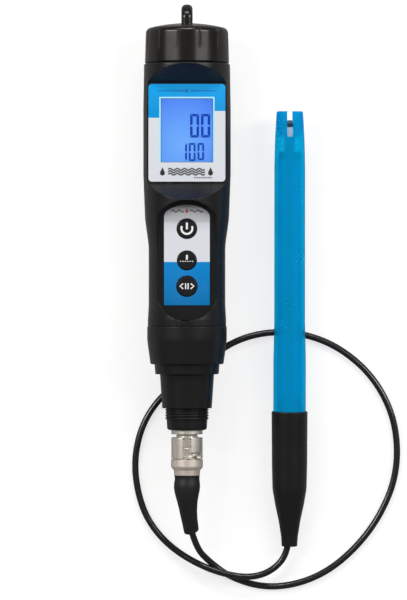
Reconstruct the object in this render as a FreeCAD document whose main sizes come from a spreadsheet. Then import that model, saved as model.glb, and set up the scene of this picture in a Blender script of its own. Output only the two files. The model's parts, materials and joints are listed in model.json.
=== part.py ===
"""Water quality probe: a battery meter with a screwed-on connector adapter, a bayonet plug,
a coaxial cable and a slotted glass electrode, lying on its back.

Row frame: +Z up, away from the display; +Y towards the battery cap; +X to the right of the
display. The origin is under the middle of the object, on the surface that it lies on.
The meter's own pieces are drawn about the meter's axis, with y = 0 at the seam between the
housing and the collar nut. The electrode's are drawn with y = 0 where the handle meets the tube.
"""
import FreeCAD, Part
import math
import os
import Sketcher

V = FreeCAD.Vector
doc = FreeCAD.newDocument("water_quality_probe")

# ---------------------------------------------------------------- driving dimensions, mm
DIMENSIONS = {
    # where the two assemblies lie
    "meter_x": -17.85, "seam_y": -22.8, "axis_height": 19.6,
    "electrode_x": 29.55, "joint_y": -62.33, "joint_height": 9.36, "electrode_tilt": 2.3,
    # housing
    "seam_radius": 18.0, "grip_radius": 17.6, "shoulder_radius": 19.3, "head_radius": 20.1,
    "rim_radius": 19.75, "grip_low": 10.0, "grip_high": 37.0, "shoulder_high": 49.0,
    "head_low": 70.0, "head_high": 100.0, "head_top": 120.5,
    "spigot_radius": 16.6, "spigot_core": 15.9, "spigot_top": 133.0, "spigot_pitch": 3.0,
    "socket_radius": 16.1, "socket_core": 15.5, "socket_end": -12.0, "socket_bore": 13.0,
    "display_face": 8.5, "display_low": 65.6, "display_high": 111.6, "display_ramp": 8.6,
    "keypad_face": 11.0, "keypad_half": 13.55, "keypad_low": 12.0, "keypad_high": 50.6,
    "keypad_top_radius": 16.6, "keypad_low_radius": 14.3,
    "wall": 2.2, "cavity_half": 12.5, "cavity_floor": -10.0, "cavity_low": 2.0,
    "cavity_step": 61.0, "cavity_high": 106.0, "cell_bore": 6.0, "cell_floor": 108.0,
    "rest_half": 4.4, "rest_low": 3.0, "rest_high": 62.0,
    # display
    "film": 0.45, "label_half": 17.6, "label_low": 66.2, "label_high": 110.9, "label_corner": 1.6,
    "lcd_half": 12.05, "lcd_low": 75.0, "lcd_high": 104.4, "lcd_thick": 1.8, "light_thick": 1.6,
    "board_half": 11.6, "board_low": 8.0, "board_high": 105.2, "board_face": 3.4,
    "board_thick": 1.6,
    # keypad
    "key_label_half": 10.45, "key_label_low": 9.6, "key_label_side": 51.6,
    "key_label_corner": 3.4,
    "power_y": 44.6, "light_y": 30.1, "set_y": 18.3, "power_radius": 4.45, "light_radius": 4.3,
    "set_radius": 4.6, "button_gap": 0.3, "button_proud": 0.5, "button_depth": 2.4,
    "button_stem": 1.6, "button_stem_end": 7.6, "switch_side": 6.0, "switch_top": 6.3,
    # battery cap
    "cap_gap": 0.4, "cap_low_radius": 19.35, "cap_high_radius": 18.9, "cap_rim": 136.6,
    "cap_dome": 139.2, "cap_bore": 16.95, "cap_roof": 133.9, "cap_edge": 2.6,
    "groove_radius": 0.55, "groove_low": 127.2, "groove_angle": 18.0, "groove_count": 12.0,
    "loop_width": 5.2, "loop_half": 6.5, "loop_top": 147.9, "loop_hole": 2.75,
    "loop_hole_y": 142.4, "loop_edge": 2.1, "loop_chamfer": 0.4,
    "seal_radius": 17.35, "seal_wire": 0.45, "seal_y": 122.4,
    "cell_radius": 5.8, "cell_thick": 5.4, "cell_count": 4.0,
    # collar nut and adapter
    "nut_gap": 0.05, "nut_radius": 18.3, "nut_mid": -6.5, "nut_low_radius": 16.8, "nut_end": -17.5,
    "nut_bore": 16.4, "nut_shoulder": -15.7, "nut_hole": 15.2, "nut_edge": 0.7,
    "flange_radius": 16.0, "flange_high": -12.2, "flange_low": -14.8, "ring_radius": 14.95,
    "ring_end": -22.1, "ring_low_radius": 14.6, "barrel_radius": 12.45, "barrel_end": -37.7,
    "barrel_low_radius": 11.4, "screw_radius": 9.95, "screw_end": -43.2, "nose_radius": 9.35,
    "nose_end": -47.8, "nose_low_radius": 9.1, "nose_edge": 1.2, "adapter_bore": 10.0,
    "adapter_step": -34.0, "nose_bore": 8.2, "nose_wall": -42.2, "jack_hole": 4.8,
    # bayonet jack and plug
    "jack_radius": 4.75, "jack_back": -38.5, "jack_front": -60.2, "jack_bore": 4.15,
    "jack_bore_end": -50.5, "washer_radius": 7.2, "washer_end": -49.7, "lug_y": -59.1,
    "lug_radius": 0.95, "lug_reach": 6.1, "lug_angle": 47.0,
    "sleeve_radius": 7.2, "sleeve_front": -51.2, "sleeve_step": -60.9, "sleeve_end": -62.2,
    "sleeve_bore": 5.05, "sleeve_tail": 6.2, "sleeve_lip": -61.2, "sleeve_lip_bore": 4.4,
    "slot_half": 1.9, "slot_high": -58.0, "slot_low": -60.7, "slot_turn": 60.0,
    "shell_radius": 7.35, "shell_front": -61.3, "shell_step": -65.3, "shell_end": -66.2,
    "ferrule_radius": 6.1, "ferrule_low_radius": 5.9, "ferrule_end": -68.6,
    "plug_barrel": 4.0, "plug_tip": -52.6, "plug_tail": 4.5, "plug_bore": 3.4,
    "pin_radius": 0.68,
    # electrode
    "handle_radius": 8.33, "handle_end": -62.6, "handle_end_radius": 3.6, "handle_bore": 6.3,
    "handle_room": -32.0, "cable_hole": 2.3, "cable_hole_depth": 5.1,
    "tube_radius": 7.5, "shaft_radius": 7.1, "tube_tip": 138.7, "tube_tip_radius": 6.2,
    "tube_spigot": 6.2, "tube_spigot_end": -14.0, "tube_bore": 5.7, "tube_bore_tip": 5.0, "tube_floor": 120.0,
    "guard_floor": 127.0, "guard_bore": 5.0, "guard_slot": 2.6,
    "stem_radius": 2.0, "stem_low": -6.0,
    # cable
    "cable_radius": 1.5,
}


class Size:
    """A number together with the spreadsheet expression that it comes from."""

    def __init__(self, value, text):
        self.value = value
        self.text = text

    def __add__(self, other):
        other = as_size(other)
        return Size(self.value + other.value, f"({self.text} + {other.text})")

    def __sub__(self, other):
        other = as_size(other)
        return Size(self.value - other.value, f"({self.text} - {other.text})")

    def __mul__(self, other):
        other = as_size(other)
        return Size(self.value * other.value, f"({self.text} * {other.text})")

    def __truediv__(self, other):
        other = as_size(other)
        return Size(self.value / other.value, f"({self.text} / {other.text})")

    def __neg__(self):
        return Size(-self.value, f"(-1 * {self.text})")


def as_size(number):
    return number if isinstance(number, Size) else Size(float(number), repr(float(number)))


class Sheet:
    """The dimensions by name: d.wall is the cell whose alias is wall."""


sheet = doc.addObject("Spreadsheet::Sheet", "Sizes")
d = Sheet()
for row, (alias, number) in enumerate(DIMENSIONS.items(), start=1):
    sheet.set(f"A{row}", alias)
    sheet.set(f"B{row}", str(number))
    sheet.setAlias(f"B{row}", alias)
    setattr(d, alias, Size(number, f"Sizes.{alias}"))
doc.recompute()


# ---------------------------------------------------------------- drawing helpers
def bind(obj, **sizes):
    """Set each property to its size and tie it to the sheet."""
    for name, size in sizes.items():
        size = as_size(size)
        setattr(obj, name, size.value)
        obj.setExpression(name, size.text)
    return obj


own_places = {}


def move(obj, x=0, y=0, z=0, turn=None):
    """Put an object's origin at x, y, z, tied to the sheet, with an optional fixed turn."""
    places = [as_size(number) for number in (x, y, z)]
    turn = turn or FreeCAD.Rotation()
    own_places[obj.Name] = (*places, turn)
    obj.Placement = FreeCAD.Placement(V(*[place.value for place in places]), turn)
    for letter, place in zip("xyz", places):
        obj.setExpression(f"Placement.Base.{letter}", place.text)
    return obj


def arc_through(start, end, radius):
    """The short arc of this radius from start to end that bulges to the right of the way."""
    chord = end - start
    middle = (start + end) * 0.5
    left = V(-chord.y, chord.x, 0).normalize()
    centre = middle + left * math.sqrt(radius ** 2 - (chord.Length / 2) ** 2)
    first = math.atan2(start.y - centre.y, start.x - centre.x)
    last = math.atan2(end.y - centre.y, end.x - centre.x)
    return Part.ArcOfCircle(Part.Circle(centre, V(0, 0, 1), radius), first, last)


def draw(sketch, points, arcs=None):
    """A closed outline, anticlockwise, through points of sizes. arcs maps a side to its radius."""
    arcs = arcs or {}
    spots = [V(as_size(x).value, as_size(y).value, 0) for x, y in points]
    count = len(points)
    for side in range(count):
        start, end = spots[side], spots[(side + 1) % count]
        if side in arcs:
            sketch.addGeometry(arc_through(start, end, as_size(arcs[side]).value), False)
        else:
            sketch.addGeometry(Part.LineSegment(start, end), False)
    for side, (x, y) in enumerate(points):
        sketch.addConstraint(Sketcher.Constraint("Coincident", side, 2, (side + 1) % count, 1))
        for kind, size in (("DistanceX", as_size(x)), ("DistanceY", as_size(y))):
            line = sketch.addConstraint(Sketcher.Constraint(kind, -1, 1, side, 1, size.value))
            sketch.setExpression(f"Constraints[{line}]", size.text)
    for side, radius in arcs.items():
        radius = as_size(radius)
        line = sketch.addConstraint(Sketcher.Constraint("Radius", side, radius.value))
        sketch.setExpression(f"Constraints[{line}]", radius.text)


def body_with_sketch(name, plane, points, arcs=None):
    body = doc.addObject("PartDesign::Body", name)
    base = next(item for item in body.Origin.OriginFeatures if item.Role == plane)
    sketch = body.newObject("Sketcher::SketchObject", name + "_outline")
    sketch.AttachmentSupport = (base, [""])
    sketch.MapMode = "FlatFace"
    draw(sketch, points, arcs)
    return body, sketch


def turned(name, points, arcs=None):
    """A turned piece: the outline of (radius, y) points, spun about the y axis."""
    body, sketch = body_with_sketch(name, "XY_Plane", points, arcs)
    spin = body.newObject("PartDesign::Revolution", name + "_spin")
    spin.Profile = sketch
    spin.ReferenceAxis = (sketch, ["V_Axis"])
    spin.Angle = 360
    doc.recompute()
    return body


def plate(name, points, low, thick, arcs=None):
    """A flat piece: the outline of (x, y) points, from z = low upwards."""
    body, sketch = body_with_sketch(name, "XY_Plane", points, arcs)
    sketch.setExpression("AttachmentOffset.Base.z", as_size(low).text)
    pad = body.newObject("PartDesign::Pad", name + "_pad")
    pad.Profile = sketch
    bind(pad, Length=thick)
    doc.recompute()
    return body


def round_edges(body, kind, radius, wanted):
    """Fillet or chamfer the edges of a body for which wanted(edge) is true."""
    tip = body.Tip
    names = [f"Edge{i}" for i, edge in enumerate(tip.Shape.Edges, start=1) if wanted(edge)]
    feature = body.newObject("PartDesign::" + kind, f"{body.Name}_{kind.lower()}_{len(body.Group)}")
    feature.Base = (tip, names)
    size = "Radius" if kind == "Fillet" else "Size"
    bind(feature, **{size: radius})
    doc.recompute()
    return body


def ring_at(radius, y):
    """True for a round edge about the y axis with this radius at this height."""
    radius, y = as_size(radius).value, as_size(y).value

    def wanted(edge):
        if edge.Degenerated:
            return False
        curve = edge.Curve
        return (isinstance(curve, Part.Circle) and abs(curve.Radius - radius) < 0.01
                and abs(curve.Center.y - y) < 0.01)
    return wanted


def box(name, x, y, z):
    """A box from three (low, high) pairs."""
    block = doc.addObject("Part::Box", name)
    pairs = [(as_size(low), as_size(high)) for low, high in (x, y, z)]
    bind(block, Length=pairs[0][1] - pairs[0][0], Width=pairs[1][1] - pairs[1][0],
         Height=pairs[2][1] - pairs[2][0])
    return move(block, *[low for low, _ in pairs])


def rod(name, radius, low, high, x=0, z=0):
    """A cylinder along y."""
    piece = bind(doc.addObject("Part::Cylinder", name), Radius=radius,
                 Height=as_size(high) - low)
    return move(piece, x, low, z, FreeCAD.Rotation(V(1, 0, 0), -90))


def post(name, radius, low, high, x=0, y=0):
    """A cylinder along z."""
    piece = bind(doc.addObject("Part::Cylinder", name), Radius=radius,
                 Height=as_size(high) - low)
    return move(piece, x, y, low)


def hoop(name, radius, wire, y):
    """A ring of round wire about the y axis."""
    piece = bind(doc.addObject("Part::Torus", name), Radius1=radius, Radius2=wire)
    return move(piece, 0, y, 0, FreeCAD.Rotation(V(1, 0, 0), -90))


def joined(name, pieces):
    fuse = doc.addObject("Part::MultiFuse", name)
    fuse.Shapes = pieces
    return fuse


def cut(name, base, tools):
    result = doc.addObject("Part::Cut", name)
    result.Base = base
    result.Tool = tools[0] if len(tools) == 1 else joined(name + "_tools", tools)
    return result


nodes = []


def keep(piece, label):
    piece.Label = label
    nodes.append(piece)
    return piece


def on_meter(piece, label):
    """Keep a piece that is drawn about the meter's axis."""
    x, y, z, turn = own_places.get(piece.Name, (0, 0, 0, None))
    return keep(move(piece, d.meter_x + x, d.seam_y + y, d.axis_height + z, turn), label)


def on_electrode(piece, label):
    """Keep a piece that is drawn about the electrode's axis, which leans up to the tip."""
    lean = FreeCAD.Rotation(V(1, 0, 0), d.electrode_tilt.value)
    return keep(move(piece, d.electrode_x, d.joint_y, d.joint_height, lean), label)


# ---------------------------------------------------------------- housing
def housing():
    """Moulded body: round head, narrow grip, threaded spigots at both ends, facets in front."""
    cap_thread = ridges(d.spigot_core, d.spigot_radius, 1.5,
                        [d.head_top + 4.2 + d.spigot_pitch * i for i in range(3)])
    nut_thread = ridges(d.socket_core, d.socket_radius, 1.1,
                        [d.socket_end + 2.0 + 1.6 * i for i in range(5)])
    outer = turned("housing_blank", [(0, d.socket_end), (d.socket_core, d.socket_end)]
                   + nut_thread + [
        (d.socket_core, 0), (d.seam_radius, 0), (d.seam_radius, 3.0),
        (d.grip_radius, d.grip_low), (d.grip_radius, d.grip_high),
        (d.shoulder_radius, d.shoulder_high), (d.head_radius, d.head_low),
        (d.head_radius, d.head_high), (d.rim_radius, d.head_top), (d.spigot_core, d.head_top)]
                   + cap_thread + [(d.spigot_core, d.spigot_top), (0, d.spigot_top)])
    round_edges(outer, "Fillet", 30.0, ring_at(d.grip_radius, d.grip_high))
    round_edges(outer, "Fillet", 40.0, ring_at(d.shoulder_radius, d.shoulder_high))
    round_edges(outer, "Fillet", 0.6, ring_at(d.rim_radius, d.head_top))
    round_edges(outer, "Fillet", 0.25, ring_at(d.seam_radius, 0))
    rooms = [
        box("grip_room", (-d.cavity_half, d.cavity_half), (d.cavity_low, d.cavity_step),
            (d.cavity_floor, d.keypad_face - d.wall)),
        box("head_room", (-d.cavity_half, d.cavity_half), (d.cavity_step - 1, d.cavity_high),
            (d.cavity_floor, d.display_face - d.wall)),
        rod("cell_bore", d.cell_bore, d.cell_floor, d.spigot_top + 1),
        rod("socket_bore", d.socket_bore, d.socket_end - 1, d.cavity_low + 0.5)]
    lcd = box("lcd_opening", (-d.lcd_half, d.lcd_half), (d.lcd_low, d.lcd_high), (0, 20))
    keys = [post(f"{name}_hole", radius + d.button_gap, 5, 20, 0, y)
            for name, radius, y in button_places()]
    hollow = cut("housing_hollow", outer, rooms + [lcd, display_facet(), keypad_facet()] + keys)
    rest = box("rest_rib", (-d.rest_half, d.rest_half), (d.rest_low, d.rest_high),
               (-d.axis_height - 1, -15.5))
    table = box("rest_plane", (-25, 25), (-1, 140), (-30, -d.axis_height))
    return on_meter(cut("housing_cut", joined("housing_solid", [hollow, rest]), [table]),
                    "housing")


def ridges(core, crest, width, middles):
    """The outline of thread ridges, from the lowest up, on a core of this radius."""
    points = []
    for y in middles:
        points += [(core, y - width / 2), (crest, y - width / 4), (crest, y + width / 4),
                   (core, y + width / 2)]
    return points


def display_facet():
    """The flat for the display with a slanting ramp at each end, as a wedge seen from the side."""
    body, sketch = body_with_sketch("display_wedge", "YZ_Plane", [
        (d.display_low, d.display_face), (d.display_high, d.display_face),
        (d.display_high + d.display_ramp, 20.2), (d.display_high + d.display_ramp, 26),
        (d.display_low - d.display_ramp, 26), (d.display_low - d.display_ramp, 20.6)])
    pad = body.newObject("PartDesign::Pad", "display_wedge_pad")
    pad.Profile = sketch
    pad.Length = 60
    pad.Midplane = True
    doc.recompute()
    return body


def keypad_facet():
    """The sunk panel for the keys: straight sides, an arched top and a deeper arched bottom."""
    half = d.keypad_half
    return plate("keypad_well", [
        (-half, d.keypad_low), (half, d.keypad_low), (half, d.keypad_high),
        (-half, d.keypad_high)], d.keypad_face, 14,
        {0: d.keypad_low_radius, 2: d.keypad_top_radius})


def button_places():
    return [("power_button", d.power_radius, d.power_y),
            ("light_button", d.light_radius, d.light_y),
            ("set_button", d.set_radius, d.set_y)]


# ---------------------------------------------------------------- display and keypad
def display():
    half, low, high = d.label_half, d.label_low, d.label_high
    blank = plate("display_label_blank", [(-half, low), (half, low), (half, high), (-half, high)],
                  d.display_face, d.film)
    round_edges(blank, "Fillet", d.label_corner, upright)
    lcd = (-d.lcd_half, d.lcd_half), (d.lcd_low, d.lcd_high)
    on_meter(cut("display_label_cut", blank, [box("label_opening", *lcd, (0, 20))]),
             "display_label")
    top = d.display_face + d.film
    on_meter(box("window_block", (-d.lcd_half + 0.1, d.lcd_half - 0.1),
                 (d.lcd_low + 0.1, d.lcd_high - 0.1), (top - 0.8, top - 0.05)), "lcd_window")
    glass_top = top - 0.95
    inner = (-d.lcd_half + 0.3, d.lcd_half - 0.3), (d.lcd_low + 0.3, d.lcd_high - 0.3)
    on_meter(box("glass_block", *inner, (glass_top - d.lcd_thick, glass_top)), "lcd_glass")
    light_top = glass_top - d.lcd_thick - 0.1
    on_meter(box("light_block", *inner, (light_top - d.light_thick, light_top)),
             "lcd_backlight")
    strips = [box(f"zebra_{i}", (-10, 10), (y, y + 1.0), (d.board_face + 0.02, light_top - 1.65))
              for i, y in enumerate([d.lcd_low + 0.6, d.lcd_high - 1.6])]
    on_meter(joined("zebra_pair", strips), "lcd_contact_strips")


def upright(edge):
    """True for a straight edge along z."""
    ends = edge.Vertexes
    return len(ends) == 2 and abs(abs(ends[0].Z - ends[1].Z) - edge.Length) < 1e-6


def keypad():
    half = d.key_label_half
    blank = plate("keypad_label_blank", [
        (-half, d.key_label_low), (half, d.key_label_low), (half, d.key_label_side),
        (-half, d.key_label_side)], d.keypad_face, d.film, {2: 15.7})
    round_edges(blank, "Fillet", d.key_label_corner, lambda edge: upright(edge)
                and edge.CenterOfMass.y > d.key_label_side.value - 0.01)
    holes = [post(f"{name}_label_hole", radius + d.button_gap, 5, 20, 0, y)
             for name, radius, y in button_places()]
    on_meter(cut("keypad_label_cut", blank, holes), "keypad_label")
    top = d.keypad_face + d.film + d.button_proud
    for name, radius, y in button_places():
        head = turned(name + "_head", [(0, top - d.button_depth), (radius, top - d.button_depth),
                                       (radius, top), (0, top)])
        round_edges(head, "Fillet", 0.35, ring_at(radius, top))
        move(head, 0, y, 0, FreeCAD.Rotation(V(1, 0, 0), 90))
        stem = post(name + "_stem", d.button_stem, d.button_stem_end,
                    top - d.button_depth + 0.5, 0, y)
        on_meter(joined(name + "_piece", [head, stem]), name)


def electronics():
    face, back = d.board_face, d.board_face - d.board_thick
    board = box("board_blank", (-d.board_half, d.board_half), (d.board_low, d.board_high),
                (back, face))
    holes = [post(f"board_hole_{i}", 1.25, -5, 10, x, y)
             for i, (x, y) in enumerate(board_screws())]
    on_meter(cut("board_cut", board, holes), "main_board")
    pillars, screws = [], []
    for i, (x, y) in enumerate(board_screws()):
        pillars.append(cut(f"pillar_{i}", post(f"pillar_post_{i}", 2.2, d.cavity_floor + 0.02,
                                               back, x, y),
                           [post(f"pillar_bore_{i}", 1.05, -4, 10, x, y)]))
        screws.append(joined(f"screw_{i}", [post(f"screw_shank_{i}", 1.0, -2, face + 0.2, x, y),
                                            post(f"screw_head_{i}", 1.9, face + 0.01,
                                                 face + 1.2, x, y)]))
    on_meter(joined("pillar_set", pillars), "board_pillars")
    on_meter(joined("screw_set", screws), "board_screws")
    switches = []
    half = d.switch_side / 2
    for name, _, y in button_places():
        switches += [box(name + "_switch", (-half, half), (y - half, y + half),
                         (face + 0.01, d.switch_top)),
                     post(name + "_plunger", 1.5, d.switch_top - 0.1, d.switch_top + 0.5, 0, y)]
    on_meter(joined("switch_set", switches), "key_switches")
    chip = box("chip_block", (-4, 4), (84, 92), (back - 1.4, back - 0.01))
    on_meter(chip, "processor_chip")
    sounder = rod("sounder_block", 4.5, 0, 3.2)
    move(sounder, 0, 62, back - 0.01, FreeCAD.Rotation(V(1, 0, 0), 180))
    on_meter(sounder, "sounder")


def board_screws():
    return [(-9.2, 11.5), (9.2, 11.5), (-9.2, 58.0), (9.2, 58.0)]


# ---------------------------------------------------------------- batteries and cap
def battery_cap():
    low = d.head_top + d.cap_gap
    shell = turned("cap_shell", [
        (d.cap_bore, low), (d.cap_low_radius, low), (d.cap_high_radius, d.cap_rim),
        (0, d.cap_dome), (0, d.cap_roof), (d.cap_bore, d.cap_roof)],
        {2: 70.0})
    round_edges(shell, "Fillet", d.cap_edge, ring_at(d.cap_high_radius, d.cap_rim))
    round_edges(shell, "Fillet", 0.3, ring_at(d.cap_low_radius, low))
    slope = math.degrees(math.atan2(DIMENSIONS["cap_low_radius"] - DIMENSIONS["cap_high_radius"],
                                    DIMENSIONS["cap_rim"] - DIMENSIONS["head_top"]))
    grooves = []
    for i in range(int(DIMENSIONS["groove_count"])):
        angle = math.radians(DIMENSIONS["groove_angle"] + 360 / DIMENSIONS["groove_count"] * i)
        out = V(math.sin(angle), 0, math.cos(angle))
        grip = bind(doc.addObject("Part::Cylinder", f"cap_grip_{i}"), Radius=d.groove_radius,
                    Height=d.cap_dome - d.groove_low)
        reach = d.cap_low_radius - 0.1
        lean = FreeCAD.Rotation(V(0, 1, 0).cross(out), -slope)
        move(grip, reach * out.x, d.groove_low, reach * out.z,
             lean.multiply(FreeCAD.Rotation(V(1, 0, 0), -90)))
        grooves.append(grip)
    seat = turned("seal_seat", [(d.cap_bore - 0.2, d.seal_y - 0.7), (17.95, d.seal_y - 0.7),
                                 (17.95, d.seal_y + 0.7), (d.cap_bore - 0.2, d.seal_y + 0.7)])
    dome = joined("cap_solid", [shell, cap_loop()])
    on_meter(cut("cap_cut", dome, [seat] + grooves), "battery_cap")
    on_meter(hoop("cap_seal_ring", d.seal_radius, d.seal_wire, d.seal_y), "cap_seal")
    top = d.cell_floor + 0.4 + d.cell_thick * d.cell_count
    on_meter(turned("cap_contact_disc", [
        (0, top + 0.3), (2.2, top + 0.3), (4.6, d.cap_roof - 0.45), (8, d.cap_roof - 0.45),
        (8, d.cap_roof - 0.02), (0, d.cap_roof - 0.02)]), "cap_contact")


def cap_loop():
    """The lanyard eye: an upright arched plate with a hole along x."""
    foot = d.cap_roof + 2.0
    body, sketch = body_with_sketch("loop_blank", "YZ_Plane", [
        (foot, -d.loop_half), (d.loop_top, -d.loop_half), (d.loop_top, d.loop_half),
        (foot, d.loop_half)])
    pad = body.newObject("PartDesign::Pad", "loop_pad")
    pad.Profile = sketch
    bind(pad, Length=d.loop_width)
    pad.Midplane = True
    doc.recompute()
    top = d.loop_top.value - 0.01
    round_edges(body, "Fillet", d.loop_half - 0.1, lambda edge: edge.BoundBox.YMin > top
                and edge.BoundBox.ZLength < 0.01)
    round_edges(body, "Fillet", d.loop_edge, lambda edge: edge.BoundBox.XLength < 0.01
                and edge.BoundBox.YMax > foot.value + 0.01)
    hole = bind(doc.addObject("Part::Cylinder", "loop_bore"), Radius=d.loop_hole,
                Height=d.loop_width + 2)
    across = FreeCAD.Rotation(V(0, 1, 0), 90)
    move(hole, -d.loop_width / 2 - 1, d.loop_hole_y, 0, across)
    mouths = []
    for side in (-1, 1):
        mouth = bind(doc.addObject("Part::Cone", f"loop_mouth_{side + 1}"), Radius1=d.loop_hole,
                     Radius2=d.loop_hole + d.loop_chamfer + 0.5, Height=d.loop_chamfer + 0.5)
        move(mouth, (d.loop_width / 2 - d.loop_chamfer) * side, d.loop_hole_y, 0,
             FreeCAD.Rotation(V(0, 1, 0), 90 * side))
        mouths.append(mouth)
    return cut("loop_cut", body, [hole] + mouths)


def batteries():
    cells = []
    for i in range(int(DIMENSIONS["cell_count"])):
        low = d.cell_floor + 0.4 + d.cell_thick * i
        can = turned(f"cell_{i}", [
            (0, low + 0.02), (4.9, low + 0.02), (d.cell_radius, low + 0.6),
            (d.cell_radius, low + d.cell_thick), (0, low + d.cell_thick)])
        cells.append(can)
    on_meter(joined("cell_stack", cells), "button_cells")
    on_meter(rod("cell_disc", 5.0, d.cell_floor, d.cell_floor + 0.38), "cell_contact")


# ---------------------------------------------------------------- collar nut and adapter
def collar_nut():
    nut = turned("nut_blank", [
        (d.nut_hole, d.nut_end), (d.nut_low_radius, d.nut_end), (d.nut_radius, d.nut_mid),
        (d.nut_radius, -d.nut_gap), (d.nut_bore, -d.nut_gap), (d.nut_bore, d.nut_shoulder),
        (d.nut_hole, d.nut_shoulder)])
    round_edges(nut, "Fillet", d.nut_edge, ring_at(d.nut_low_radius, d.nut_end))
    round_edges(nut, "Fillet", 0.3, ring_at(d.nut_radius, -d.nut_gap))
    round_edges(nut, "Fillet", 20, ring_at(d.nut_radius, d.nut_mid))
    on_meter(nut, "collar_nut")
    on_meter(turned("slip_ring", [
        (d.ring_radius + 0.12, d.nut_shoulder + 0.05), (d.nut_bore - 0.2, d.nut_shoulder + 0.05),
        (d.nut_bore - 0.2, d.flange_low - 0.1), (d.ring_radius + 0.12, d.flange_low - 0.1)]),
        "collar_slip_ring")


def adapter():
    fine_thread = ridges(d.screw_radius - 0.5, d.screw_radius, 1.1,
                         [d.screw_end + 0.8 + 1.3 * i for i in range(4)])
    body = turned("adapter_blank", [
        (d.jack_hole, d.nose_end), (d.nose_low_radius, d.nose_end), (d.nose_radius, d.screw_end),
        (d.screw_radius - 0.5, d.screw_end)] + fine_thread + [
        (d.screw_radius - 0.5, d.barrel_end),
        (d.barrel_low_radius, d.barrel_end), (d.barrel_radius, d.ring_end),
        (d.ring_low_radius, d.ring_end), (d.ring_radius, d.nut_end), (d.ring_radius, d.flange_low),
        (d.flange_radius, d.flange_low), (d.flange_radius, d.flange_high),
        (d.adapter_bore, d.flange_high), (d.adapter_bore, d.adapter_step),
        (d.nose_bore, d.adapter_step), (d.nose_bore, d.nose_wall), (d.jack_hole, d.nose_wall)])
    round_edges(body, "Fillet", d.nose_edge, ring_at(d.nose_low_radius, d.nose_end))
    round_edges(body, "Fillet", 0.4, ring_at(d.ring_low_radius, d.ring_end))
    seat = hoop("adapter_seal_seat", 14.2, 0.52, d.flange_high - 0.24)
    on_meter(cut("adapter_cut", body, [seat]),
             "adapter_body")
    on_meter(hoop("adapter_seal_ring", 14.2, 0.42, d.flange_high - 0.24), "adapter_seal")
    socket = turned("socket_disc", [(0, -8), (12.8, -8), (12.8, -4), (0, -4)])
    spots = [(5 * math.sin(math.radians(72 * i)), 5 * math.cos(math.radians(72 * i)))
             for i in range(5)]
    holes = [rod(f"socket_hole_{i}", 0.65, -9, -3, x, z) for i, (x, z) in enumerate(spots)]
    on_meter(cut("socket_cut", socket, holes), "probe_socket")
    pins = [rod(f"adapter_pin_{i}", 0.55, -14, -4.5, x, z) for i, (x, z) in enumerate(spots)]
    holder = cut("pin_holder", rod("pin_disc", 9.9, -14.6, -12.4),
                 [rod(f"pin_seat_{i}", 0.56, -14.2, -12, x, z)
                  for i, (x, z) in enumerate(spots)])
    on_meter(joined("pin_set", pins), "adapter_pins")
    on_meter(holder, "adapter_pin_holder")


# ---------------------------------------------------------------- bayonet jack and plug
def jack():
    barrel = turned("jack_barrel", [
        (0, d.jack_back), (1.3, d.jack_back), (1.3, -47), (3.6, -47), (3.6, d.jack_bore_end),
        (d.jack_bore, d.jack_bore_end), (d.jack_bore, d.jack_front), (4.75, d.jack_front),
        (4.85, -59.6), (4.85, -56.2), (4.55, -56.0), (4.55, -55.2), (4.85, -55.0), (4.85, -52.6),
        (4.45, -52.4), (4.45, -51.6), (4.85, -51.4), (4.85, -50.2), (d.jack_radius, -50.0),
        (d.jack_radius, d.jack_back - 0.001), (1.31, d.jack_back - 0.001)][1:-1])
    angle = math.radians(DIMENSIONS["lug_angle"])
    lugs = []
    for side in (0, 1):
        turn = angle + math.pi * side
        lug = bind(doc.addObject("Part::Cylinder", f"lug_{side}"), Radius=d.lug_radius,
                   Height=d.lug_reach - 4.4)
        out = V(math.sin(turn), 0, math.cos(turn))
        move(lug, 4.4 * out.x, d.lug_y, 4.4 * out.z,
             FreeCAD.Rotation(V(0, 1, 0), math.degrees(turn)))
        lugs.append(lug)
    on_meter(joined("jack_solid", [barrel] + lugs), "jack_body")
    ring = turned("jack_ring", [(4.86, d.washer_end), (d.washer_radius, d.washer_end),
                                (d.washer_radius, d.nose_end - 0.02), (4.86, d.nose_end - 0.02)])
    round_edges(ring, "Fillet", 0.3, ring_at(d.washer_radius, d.washer_end))
    on_meter(ring, "jack_washer")
    nut = doc.addObject("Part::Prism", "jack_nut_blank")
    nut.Polygon = 6
    bind(nut, Circumradius=7.0, Height=2.2)
    move(nut, 0, d.nose_wall + 0.02, 0, FreeCAD.Rotation(V(1, 0, 0), -90))
    on_meter(cut("jack_nut_cut", nut, [rod("jack_nut_bore", 4.8, -45, -35)]), "jack_nut")
    on_meter(turned("jack_insert", [(1.32, -52.4), (3.55, -52.4), (3.55, -47.1), (1.32, -47.1)]),
             "jack_insulator")
    on_meter(turned("jack_socket", [(0.75, -56), (1.28, -56), (1.28, -36), (0, -36), (0, -51),
                                    (0.75, -51)]), "jack_contact")


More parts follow.
